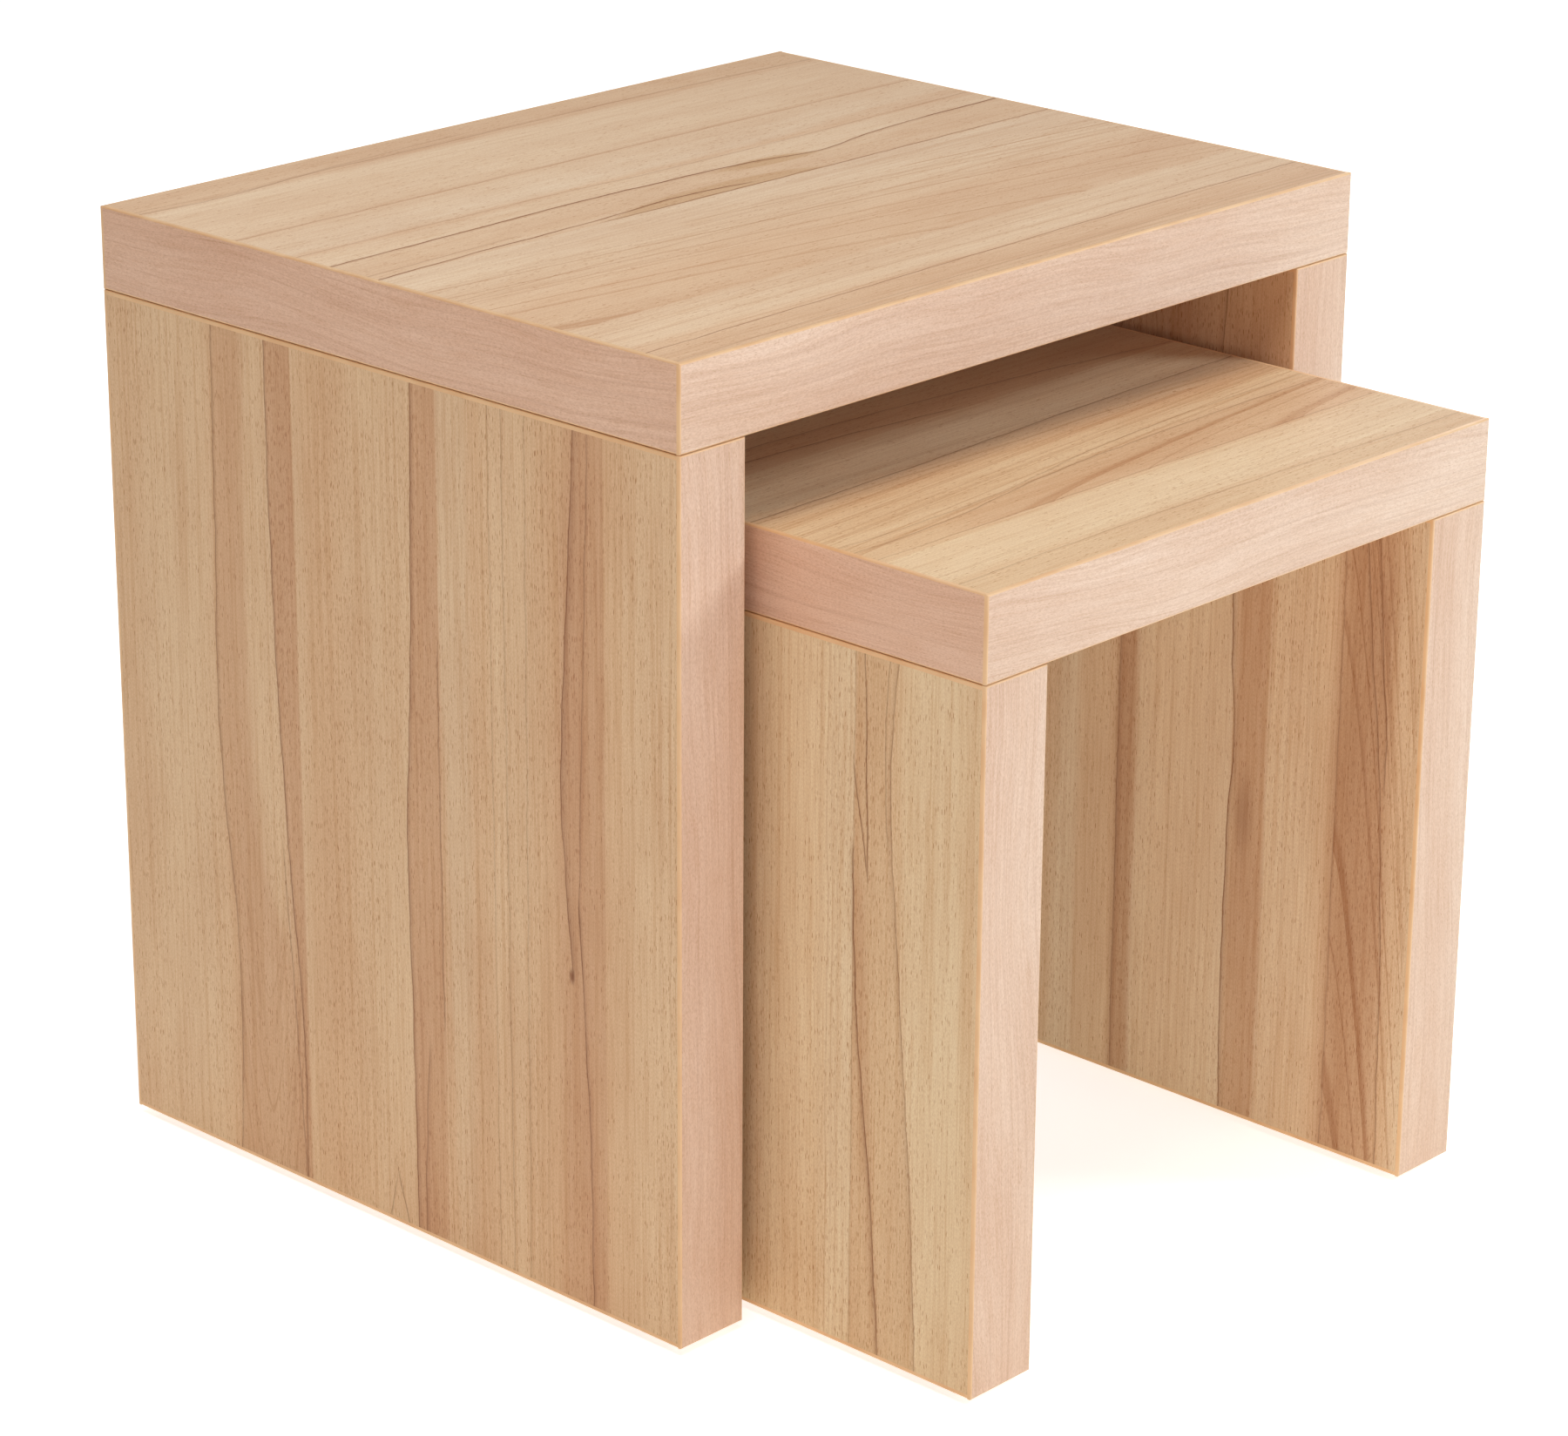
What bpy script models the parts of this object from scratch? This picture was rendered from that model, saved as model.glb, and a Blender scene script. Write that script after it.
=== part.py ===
"""Two nesting side tables, each of three thick edge-banded boards, dowelled and glued.

Metres, +Z up, the open front faces -Y. The origin is on the floor, under the middle of the
whole set, with the small table pulled part of the way out of the large one.
"""

import math

import bmesh
import bpy
from mathutils import Matrix, Vector

# Driving dimensions
LARGE_WIDTH = 0.440
SMALL_WIDTH = 0.337
DEPTH = 0.360
LARGE_HEIGHT = 0.438  # of the boards, without the glides
SMALL_HEIGHT = 0.357
PULL_OUT = 0.1193  # how far the small table stands out in front of the large one
BOARD = 0.038
BAND = 0.002
EDGE_RADIUS = 0.0013
GAP = 0.0003  # kept between pieces that touch

# Dowels in the corner joints
DOWEL_DIAMETER = 0.010
DOWEL_LENGTH = 0.050
DOWEL_IN_TOP = 0.022
DOWEL_CHAMFER = 0.0012
DOWEL_PITCH = 0.090
DOWELS = 4
DOWEL_SIDES = 16

# Nail-in glides
GLIDE_DIAMETER = 0.020
GLIDE_HEIGHT = 0.003
GLIDE_FILLET = 0.0008
NAIL_DIAMETER = 0.0024
NAIL_LENGTH = 0.016
NAIL_POINT = 0.003
GLIDE_INSET = 0.035  # from the front and back of a side board to the glide's centre
GLIDE_SIDES = 20

SIDES = ((-1, "left"), (1, "right"))
TABLES = (
    {"name": "large", "width": LARGE_WIDTH, "top": LARGE_HEIGHT + GLIDE_HEIGHT, "y": PULL_OUT / 2},
    {"name": "small", "width": SMALL_WIDTH, "top": SMALL_HEIGHT + GLIDE_HEIGHT, "y": -PULL_OUT / 2},
)

# Colours, linear
BEECH = (0.62, 0.43, 0.26)
BAND_TAN = (0.66, 0.42, 0.24)
DOWEL_WOOD = (0.66, 0.50, 0.32)
GLIDE_BROWN = (0.10, 0.065, 0.045)


def clear_scene():
    for obj in list(bpy.data.objects):
        bpy.data.objects.remove(obj, do_unlink=True)


def make_collection(name, hidden=False):
    collection = bpy.data.collections.new(name)
    collection.hide_render = hidden
    bpy.context.scene.collection.children.link(collection)
    return collection


def make_material(name, colour, roughness):
    material = bpy.data.materials.new(name)
    material.use_nodes = True
    shader = material.node_tree.nodes["Principled BSDF"]
    shader.inputs["Base Color"].default_value = (*colour, 1.0)
    shader.inputs["Roughness"].default_value = roughness
    shader.inputs["Metallic"].default_value = 0.0
    return material


def add_object(name, shape, collection, material=None):
    """Turns a bmesh into an object of the same place and puts it in a collection."""
    mesh = bpy.data.meshes.new(name)
    shape.to_mesh(mesh)
    shape.free()
    if material:
        mesh.materials.append(material)
    obj = bpy.data.objects.new(name, mesh)
    collection.objects.link(obj)
    return obj


def add_box(name, low, high, collection, material=None):
    """A box between two corners, with its origin at its middle."""
    low, high = Vector(low), Vector(high)
    shape = bmesh.new()
    bmesh.ops.create_cube(shape, size=1.0)
    bmesh.ops.scale(shape, vec=high - low, verts=shape.verts)
    obj = add_object(name, shape, collection, material)
    obj.location = (low + high) / 2
    return obj


def add_hole(name, centre, radius, low, high, sides):
    """An upright round cutter that runs from the height low to the height high."""
    shape = bmesh.new()
    bmesh.ops.create_cone(
        shape, cap_ends=True, segments=sides, radius1=radius, radius2=radius, depth=high - low
    )
    cutter = add_object(name, shape, cutters)
    cutter.location = (centre[0], centre[1], (low + high) / 2)
    cutter.hide_render = True
    cutter.display_type = "WIRE"
    return cutter


def cut(obj, cutter):
    boolean = obj.modifiers.new(cutter.name, "BOOLEAN")
    boolean.operation = "DIFFERENCE"
    boolean.solver = "EXACT"
    boolean.object = cutter


def add_band(name, low, high, outward, between=False):
    """An edge band with rounded edges on its outer side.

    A band that lies between two others is rounded only along its length, which is along Y.
    """
    band = add_box(name, low, high, parts, band_material)
    weights = band.data.attributes.new("bevel_weight_edge", "FLOAT", "EDGE")
    for edge in band.data.edges:
        a, b = (band.data.vertices[i].co for i in edge.vertices)
        outside = ((a + b) / 2).dot(Vector(outward)) > BAND / 4
        lengthwise = abs((b - a).normalized().y) > 0.5
        weights.data[edge.index].value = float(outside and (lengthwise or not between))
    bevel = band.modifiers.new("rounded edges", "BEVEL")
    bevel.limit_method = "WEIGHT"
    bevel.width = EDGE_RADIUS
    bevel.segments = 2
    return band


def dowel_places(table, side):
    """The (x, y) of each dowel in the joint over one side board."""
    x = side_middle(table, side)
    first = table["y"] - DOWEL_PITCH * (DOWELS - 1) / 2
    return [(x, first + DOWEL_PITCH * i) for i in range(DOWELS)]


def glide_places(table, side):
    x = side_middle(table, side)
    reach = DEPTH / 2 - GLIDE_INSET
    return {"front": (x, table["y"] - reach), "back": (x, table["y"] + reach)}


def side_middle(table, side):
    """The x of the middle of a side board's thickness; side is -1 on the left, 1 on the right."""
    return side * (table["width"] - BOARD) / 2


def add_top(table):
    """The top board, with blind dowel holes in its underside, and its four edge bands."""
    name = table["name"]
    half_width, half_depth = table["width"] / 2, DEPTH / 2
    y, high = table["y"], table["top"]
    low = high - BOARD
    core_x, core_y = half_width - BAND, half_depth - BAND

    board = add_box(
        f"{name}_top_board", (-core_x, y - core_y, low), (core_x, y + core_y, high),
        parts, board_material,
    )
    for side, word in SIDES:
        for number, place in enumerate(dowel_places(table, side), 1):
            cut(board, add_hole(
                f"{name}_{word}_top_hole_{number}", place, DOWEL_DIAMETER / 2 + GAP,
                low - BAND, low + DOWEL_IN_TOP + GAP, DOWEL_SIDES,
            ))

    for end, word in ((-1, "front"), (1, "back")):
        inner, outer = y + end * (core_y + GAP), y + end * half_depth
        add_band(
            f"{name}_top_band_{word}",
            (-half_width, min(inner, outer), low), (half_width, max(inner, outer), high),
            (0, end, 0),
        )
    for side, word in SIDES:
        inner, outer = side * (core_x + GAP), side * half_width
        add_band(
            f"{name}_top_band_{word}",
            (min(inner, outer), y - core_y, low), (max(inner, outer), y + core_y, high),
            (side, 0, 0), between=True,
        )


def add_side(table, side, word):
    """One side board and its four edge bands, drilled for the dowels and the glides' nails."""
    name = f"{table['name']}_{word}"
    x, y, half_depth = side_middle(table, side), table["y"], DEPTH / 2
    left, right = x - BOARD / 2, x + BOARD / 2
    core_y = half_depth - BAND
    low, high = GLIDE_HEIGHT + GAP, table["top"] - BOARD - GAP

    board = add_box(
        f"{name}_board", (left, y - core_y, low + BAND), (right, y + core_y, high - BAND),
        parts, board_material,
    )
    for end, place in ((-1, "front"), (1, "back")):
        inner, outer = y + end * (core_y + GAP), y + end * half_depth
        add_band(
            f"{name}_band_{place}",
            (left, min(inner, outer), low), (right, max(inner, outer), high), (0, end, 0),
        )
    upper = add_band(
        f"{name}_band_upper",
        (left, y - core_y, high - BAND + GAP), (right, y + core_y, high), (0, 0, 1), between=True,
    )
    lower = add_band(
        f"{name}_band_lower",
        (left, y - core_y, low), (right, y + core_y, low + BAND - GAP), (0, 0, -1), between=True,
    )

    dowel_low = table["top"] - BOARD + DOWEL_IN_TOP - DOWEL_LENGTH
    for number, place in enumerate(dowel_places(table, side), 1):
        hole = add_hole(
            f"{name}_side_hole_{number}", place, DOWEL_DIAMETER / 2 + GAP,
            dowel_low - GAP, high + BAND, DOWEL_SIDES,
        )
        cut(board, hole)
        cut(upper, hole)
    for place_name, place in glide_places(table, side).items():
        hole = add_hole(
            f"{name}_nail_hole_{place_name}", place, NAIL_DIAMETER / 2 + GAP,
            low - BAND, GLIDE_HEIGHT + NAIL_LENGTH + GAP, GLIDE_SIDES // 2,
        )
        cut(board, hole)
        cut(lower, hole)


def add_dowels(table, side, word):
    """Plain beech dowels with chamfered ends, half in the top board and half in the side."""
    high = table["top"] - BOARD + DOWEL_IN_TOP
    for number, (x, y) in enumerate(dowel_places(table, side), 1):
        shape = bmesh.new()
        bmesh.ops.create_cone(
            shape, cap_ends=True, segments=DOWEL_SIDES, radius1=DOWEL_DIAMETER / 2,
            radius2=DOWEL_DIAMETER / 2, depth=DOWEL_LENGTH,
        )
        ends = [edge for edge in shape.edges if edge.verts[0].co.z == edge.verts[1].co.z]
        bmesh.ops.bevel(
            shape, geom=ends, offset=DOWEL_CHAMFER, segments=1, affect="EDGES", profile=0.5,
            material=-1,
        )
        dowel = add_object(
            f"{table['name']}_{word}_dowel_{number}", shape, parts, dowel_material
        )
        dowel.location = (x, y, high - DOWEL_LENGTH / 2)
        smooth(dowel)


def add_glides(table, side, word):
    """Round plastic feet, each turned in one piece with the nail that holds it."""
    radius, nail = GLIDE_DIAMETER / 2, NAIL_DIAMETER / 2
    tip = GLIDE_HEIGHT + NAIL_LENGTH
    outline = [(0.0, tip), (nail, tip - NAIL_POINT), (nail, GLIDE_HEIGHT), (radius, GLIDE_HEIGHT)]
    for step in range(4):
        angle = math.radians(30 * step)
        outline.append((
            radius - GLIDE_FILLET + GLIDE_FILLET * math.cos(angle),
            GLIDE_FILLET - GLIDE_FILLET * math.sin(angle),
        ))
    outline.append((0.0, 0.0))
    for place_name, (x, y) in glide_places(table, side).items():
        shape = bmesh.new()
        points = [shape.verts.new((r, 0.0, z)) for r, z in outline]
        lines = [shape.edges.new(pair) for pair in zip(points, points[1:])]
        bmesh.ops.spin(
            shape, geom=points + lines, cent=(0, 0, 0), axis=(0, 0, 1), angle=math.tau,
            steps=GLIDE_SIDES, use_merge=True,
        )
        bmesh.ops.remove_doubles(shape, verts=shape.verts, dist=1e-6)
        bmesh.ops.recalc_face_normals(shape, faces=shape.faces)
        glide = add_object(
            f"{table['name']}_{word}_glide_{place_name}", shape, parts, glide_material
        )
        glide.location = (x, y, 0)
        smooth(glide)


def smooth(obj):
    obj.data.shade_smooth()
    obj.data.set_sharp_from_angle(angle=math.radians(35))


def add_table(table):
    """One whole table. Its parts are parented to an empty that slides along Y."""
    add_top(table)
    for side, word in SIDES:
        add_side(table, side, word)
        add_dowels(table, side, word)
        add_glides(table, side, word)
    empty = bpy.data.objects.new(f"{table['name']}_table", None)
    empty.location = (0, table["y"], 0)
    for obj in parts.objects:
        if obj.name.startswith(f"{table['name']}_"):
            obj.parent = empty
            obj.matrix_parent_inverse = Matrix.Translation(-empty.location)
    parts.objects.link(empty)


clear_scene()
parts = make_collection("nesting_tables")
cutters = make_collection("cutters", hidden=True)
board_material = make_material("beech_decor_board", BEECH, 0.42)
band_material = make_material("beech_edge_band", BAND_TAN, 0.40)
dowel_material = make_material("beech_dowel_wood", DOWEL_WOOD, 0.65)
glide_material = make_material("glide_plastic", GLIDE_BROWN, 0.45)
for each_table in TABLES:
    add_table(each_table)
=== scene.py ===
import math

import bmesh
import bpy
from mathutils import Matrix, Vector


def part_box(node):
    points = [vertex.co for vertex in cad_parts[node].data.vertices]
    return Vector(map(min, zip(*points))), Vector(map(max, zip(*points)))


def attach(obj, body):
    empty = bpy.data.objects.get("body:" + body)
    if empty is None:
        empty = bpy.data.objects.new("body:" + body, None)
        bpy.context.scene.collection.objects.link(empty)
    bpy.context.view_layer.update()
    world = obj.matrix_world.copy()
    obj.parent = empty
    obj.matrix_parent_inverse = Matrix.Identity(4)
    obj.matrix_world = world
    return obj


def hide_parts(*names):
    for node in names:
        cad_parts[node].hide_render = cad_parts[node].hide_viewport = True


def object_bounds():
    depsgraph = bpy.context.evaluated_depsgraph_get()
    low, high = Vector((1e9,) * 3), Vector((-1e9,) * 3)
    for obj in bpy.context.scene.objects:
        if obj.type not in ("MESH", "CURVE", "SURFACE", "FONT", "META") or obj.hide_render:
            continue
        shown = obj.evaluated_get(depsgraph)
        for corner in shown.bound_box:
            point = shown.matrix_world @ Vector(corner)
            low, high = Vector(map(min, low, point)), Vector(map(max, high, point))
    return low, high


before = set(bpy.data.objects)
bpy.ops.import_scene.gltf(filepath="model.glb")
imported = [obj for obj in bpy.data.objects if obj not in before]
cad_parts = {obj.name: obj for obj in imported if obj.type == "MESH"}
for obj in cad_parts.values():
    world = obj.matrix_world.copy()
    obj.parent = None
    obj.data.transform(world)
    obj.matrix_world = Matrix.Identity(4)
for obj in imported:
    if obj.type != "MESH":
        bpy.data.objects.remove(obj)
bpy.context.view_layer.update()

millimetre = 0.001
tables = ("large", "small")
sides = ("left", "right")
edgingThickness = 2.0  # of each glued-on band


# small helpers for shader trees

def tone(red, green, blue):  # a screen colour as the linear colour the shader wants
    linear = []
    for value in (red, green, blue):
        share = value / 255
        linear.append(share / 12.92 if share < 0.04045 else ((share + 0.055) / 1.055) ** 2.4)
    return (*linear, 1.0)


def connect(tree, socket, value):
    if isinstance(value, bpy.types.NodeSocket):
        tree.links.new(value, socket)
    else:
        socket.default_value = value


def addNode(tree, kind, inputs=None, **settings):
    node = tree.nodes.new("ShaderNode" + kind)
    for name, value in settings.items():
        setattr(node, name, value)
    for socket, value in (inputs or {}).items():
        connect(tree, node.inputs[socket], value)
    return node


def calc(tree, operation, *values, clamp=False):
    node = addNode(tree, "Math", operation=operation, use_clamp=clamp)
    for socket, value in zip(node.inputs, values):
        connect(tree, socket, value)
    return node.outputs[0]


def product(tree, first, *others):
    for other in others:
        first = calc(tree, "MULTIPLY", first, other)
    return first


def mixValue(tree, factor, under, over):
    node = addNode(tree, "Mix", data_type="FLOAT")
    for index, value in ((0, factor), (2, under), (3, over)):
        connect(tree, node.inputs[index], value)
    return node.outputs[0]


def smoothStep(tree, value, low, high, start=0.0, end=1.0):
    inputs = {"Value": value, "From Min": low, "From Max": high, "To Min": start, "To Max": end}
    return addNode(tree, "MapRange", inputs, interpolation_type="SMOOTHSTEP").outputs["Result"]


def mixTone(tree, factor, under, over, blend="MIX"):
    node = addNode(tree, "Mix", data_type="RGBA", blend_type=blend)
    for index, value in ((0, factor), (6, under), (7, over)):
        connect(tree, node.inputs[index], value)
    return node.outputs[2]


def noise(tree, across, along, acrossSize, alongSize, seed=0.0, detail=2.0, roughness=0.5):
    place = addNode(tree, "CombineXYZ", {
        "X": calc(tree, "DIVIDE", across, acrossSize),
        "Y": calc(tree, "DIVIDE", along, alongSize),
        "Z": seed})
    inputs = {"Vector": place.outputs[0], "Scale": 1.0, "Detail": detail, "Roughness": roughness}
    return addNode(tree, "TexNoise", inputs, noise_dimensions="3D").outputs[0]


def startGroup(name, inputs, outputs):
    tree = bpy.data.node_groups.new(name, "ShaderNodeTree")
    for socket, value in inputs.items():
        made = tree.interface.new_socket(socket, in_out="INPUT", socket_type="NodeSocketFloat")
        made.default_value = value
    for socket in outputs:
        tree.interface.new_socket(socket, in_out="OUTPUT", socket_type="NodeSocketFloat")
    given = tree.nodes.new("NodeGroupInput").outputs
    wanted = tree.nodes.new("NodeGroupOutput").inputs
    return tree, given, wanted


def useGroup(tree, group, inputs):
    node = tree.nodes.new("ShaderNodeGroup")
    node.node_tree = group
    for socket, value in inputs.items():
        connect(tree, node.inputs[socket], value)
    return node.outputs


def startMaterial(name, roughness, specular=0.5):
    material = bpy.data.materials.new(name)
    material.use_nodes = True
    tree = material.node_tree
    shader = tree.nodes["Principled BSDF"]
    shader.inputs["Roughness"].default_value = roughness
    shader.inputs["Specular IOR Level"].default_value = specular
    return material, tree, shader


def setSurface(tree, shader, colour, roughness, height, relief, depth):
    connect(tree, shader.inputs["Base Color"], colour)
    connect(tree, shader.inputs["Roughness"], roughness)
    bump = addNode(tree, "Bump", {"Height": height, "Strength": relief, "Distance": depth * millimetre})
    connect(tree, shader.inputs["Normal"], bump.outputs[0])


def setPrintSurface(tree, shader, colour, height, finish):  # the film is duller in its pores
    smooth = finish["roughness"]
    roughness = smoothStep(tree, height, -1.0, 0.9, smooth + 0.12, smooth)
    setSurface(tree, shader, colour, roughness, height, finish["relief"], 0.05)


def objectPlace(tree):  # the place on the object along each axis, in millimetres
    place = addNode(tree, "TexCoord").outputs["Object"]
    scaled = addNode(tree, "Mapping", {"Vector": place, "Scale": [1 / millimetre] * 3})
    return addNode(tree, "SeparateXYZ", {"Vector": scaled.outputs[0]}).outputs


def objectNoise(tree, scale, detail):
    place = addNode(tree, "TexCoord").outputs["Object"]
    return addNode(tree, "TexNoise", {"Vector": place, "Scale": scale, "Detail": detail}).outputs[0]


# effects shared by the finishes, each a group built once

def makePores():  # short dark vessels: one dash in some cells of a net stretched along the grain
    inputs = {"Across": 0.0, "Along": 0.0, "Seed": 0.0, "Amount": 0.5, "Gap": 1.05, "Step": 8.5,
              "Size": 0.155}
    tree, given, wanted = startGroup("wood pores", inputs, ["Pores"])
    sway = noise(tree, given["Across"], given["Along"], 14.0, 60.0, given["Seed"], 0.0)
    swayed = calc(tree, "MULTIPLY_ADD", sway, 3.0, given["Across"])
    shifted = calc(tree, "MULTIPLY_ADD", given["Seed"], 173.0, swayed)
    place = addNode(tree, "CombineXYZ", {
        "X": calc(tree, "DIVIDE", shifted, given["Gap"]),
        "Y": calc(tree, "DIVIDE", given["Along"], given["Step"])})
    cells = addNode(tree, "TexVoronoi", {"Vector": place.outputs[0], "Scale": 1.0}, voronoi_dimensions="2D")
    pick = addNode(tree, "SeparateXYZ", {"Vector": cells.outputs["Color"]}).outputs
    crowd = noise(tree, given["Across"], given["Along"], 34.0, 400.0, given["Seed"], 1.0)
    crowd = product(tree, smoothStep(tree, crowd, 0.35, 0.65, 0.35, 1.25), given["Amount"])
    kept = calc(tree, "LESS_THAN", pick["X"], crowd)
    edge = product(tree, given["Size"], 1.3)
    dash = smoothStep(tree, cells.outputs["Distance"], edge, product(tree, given["Size"], 0.6))
    depth = calc(tree, "MULTIPLY_ADD", pick["Y"], 0.6, 0.4)
    connect(tree, wanted["Pores"], product(tree, dash, kept, depth))
    return tree


# across and along size in millimetres, detail and roughness of each noise
fibres = {
    "Hair": (0.8, 26.0, 2.0, 0.6),
    "Streak": (2.6, 210.0, 3.0, 0.65),
    "Cloud": (26.0, 120.0, 2.0, 0.5),
    "Speck": (0.45, 1.3, 1.0, 0.5),
}


def makeFibre():  # hairs, slightly wider streaks, slow cloudy patches and fine specks along the grain
    inputs = {"Across": 0.0, "Along": 0.0, "Seed": 0.0}
    tree, given, wanted = startGroup("wood fibre", inputs, list(fibres))
    across, along, seed = given["Across"], given["Along"], given["Seed"]
    for name, (width, length, detail, roughness) in fibres.items():
        connect(tree, wanted[name], noise(tree, across, along, width, length, seed, detail, roughness))
    return tree


def makeGrowth():  # growth lines: a thin dark start that fades, once every spacing of the ring coordinate
    inputs = {"Rings": 0.0, "Grade": 1.0, "Spacing": 7.0, "Seed": 0.0, "Fade": 2.0}
    tree, given, wanted = startGroup("growth lines", inputs, ["Lines"])
    scaled = calc(tree, "DIVIDE", given["Rings"], given["Spacing"])
    uneven = addNode(tree, "TexNoise", {"W": calc(tree, "ADD", scaled, given["Seed"]), "Scale": 0.6,
                                        "Detail": 2.0}, noise_dimensions="1D").outputs[0]
    ring = calc(tree, "MULTIPLY_ADD", uneven, 3.0, scaled)
    part = calc(tree, "FRACT", ring)
    apart = calc(tree, "DIVIDE", product(tree, part, given["Spacing"]), given["Grade"])
    fall = calc(tree, "SUBTRACT", 1.0, calc(tree, "DIVIDE", apart, given["Fade"]), clamp=True)
    line = product(tree, calc(tree, "POWER", fall, 2.0), smoothStep(tree, apart, 0.0, 0.25))
    number = calc(tree, "ADD", calc(tree, "FLOOR", ring), given["Seed"])
    depth = addNode(tree, "TexWhiteNoise", {"W": number}, noise_dimensions="1D").outputs["Value"]
    depth = calc(tree, "MULTIPLY_ADD", depth, 0.8, 0.2)
    connect(tree, wanted["Lines"], product(tree, line, depth))
    return tree


def makeVein():  # a wavy heartwood line with a sharp side and a side that fades into the heartwood
    inputs = {"Across": 0.0, "Along": 0.0, "Path": 0.0, "From": 0.0, "Until": 500.0, "Width": 0.5,
              "Fade": 2.5, "Side": 1.0, "Seed": 0.0}
    tree, given, wanted = startGroup("heartwood vein", inputs, ["Vein"])
    ripple = noise(tree, given["Path"], given["Along"], 400.0, 22.0, given["Seed"], 3.0)
    ripple = calc(tree, "MULTIPLY_ADD", ripple, 2.4, -1.2)
    apart = calc(tree, "SUBTRACT", calc(tree, "SUBTRACT", given["Across"], given["Path"]), ripple)
    apart = product(tree, apart, given["Side"])
    core = smoothStep(tree, calc(tree, "ABSOLUTE", apart), given["Width"], 0.0)
    faded = calc(tree, "SUBTRACT", 1.0, calc(tree, "DIVIDE", apart, given["Fade"]), clamp=True)
    faded = product(tree, faded, faded, 0.5)
    faded = product(tree, faded, smoothStep(tree, apart, -0.2, 0.1))
    mask = calc(tree, "MAXIMUM", core, faded)
    started = smoothStep(tree, given["Along"], given["From"], calc(tree, "ADD", given["From"], 14.0))
    ending = calc(tree, "SUBTRACT", given["Until"], 14.0)
    ended = smoothStep(tree, given["Along"], given["Until"], ending)
    inside = product(tree, started, ended)
    strength = noise(tree, given["Path"], given["Along"], 400.0, 45.0, given["Seed"], 2.0)
    strength = calc(tree, "MULTIPLY_ADD", strength, 1.2, 0.35, clamp=True)
    connect(tree, wanted["Vein"], product(tree, mask, inside, strength))
    return tree


def makeChips():  # the particle board's flakes
    inputs = {"Size": 3.0}
    tree, given, wanted = startGroup("wood chips", inputs, ["Chips", "Gaps"])
    place = addNode(tree, "TexCoord").outputs["Object"]
    bigger = addNode(tree, "VectorMath", {0: place}, operation="SCALE")
    connect(tree, bigger.inputs["Scale"], calc(tree, "DIVIDE", 1000.0, given["Size"]))
    bent = addNode(tree, "TexNoise", {"Vector": bigger.outputs[0], "Scale": 0.7}).outputs["Color"]
    moved = addNode(tree, "VectorMath", {0: bigger.outputs[0], 1: bent}, operation="ADD").outputs[0]
    cells = addNode(tree, "TexVoronoi", {"Vector": moved, "Scale": 1.0})
    shade = addNode(tree, "SeparateXYZ", {"Vector": cells.outputs["Color"]}).outputs["X"]
    connect(tree, wanted["Chips"], shade)
    connect(tree, wanted["Gaps"], smoothStep(tree, cells.outputs["Distance"], 0.35, 0.7))
    return tree


effects = {"pores": makePores(), "fibre": makeFibre(), "growth": makeGrowth(), "vein": makeVein(),
           "chips": makeChips()}
print("shared effects built")


# the boards' beech print
# stripes: how far from the back each tone sits, two equal places make a joint between staves
# hearts: darker zones between two edges; veins: dark wavy lines; both give (along, across) points
# arches: growth lines that run out against a joint; knots: small dark ovals
# growth: straight growth lines, as (from, until, spacing, strength)
# cast multiplies the whole print; the far-end cast is painted shade on the tops, darkening the print more
# and more towards the grain's far end, where less light falls
beechTones = {
    "bright": (235, 203, 170),
    "straw": (231, 200, 168),
    "pale": (231, 202, 172),
    "tan": (226, 190, 156),
    "warm": (224, 188, 154),
    "rosy": (220, 182, 148),
    "heart": (215, 173, 140),
    "rust": (209, 164, 131),
    "gold": (211, 171, 130),
    "brown": (208, 165, 131),
    "umber": (201, 156, 121),
}
grainShades = {  # what a line, a growth ring or a pore multiplies the print by
    "vein": (154, 104, 62),
    "growth": (208, 172, 138),
    "pore": (204, 166, 130),
    "streak": (244, 234, 224),
    "hair": (247, 240, 233),
    "speck": (242, 236, 230),
    "cloud": (248, 243, 240),
}
# where each fibre noise starts to darken the print, and where it darkens it fully
grainRanges = {"cloud": (0.3, 0.7), "streak": (0.42, 0.7), "hair": (0.36, 0.72), "speck": (0.3, 0.75)}

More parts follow.
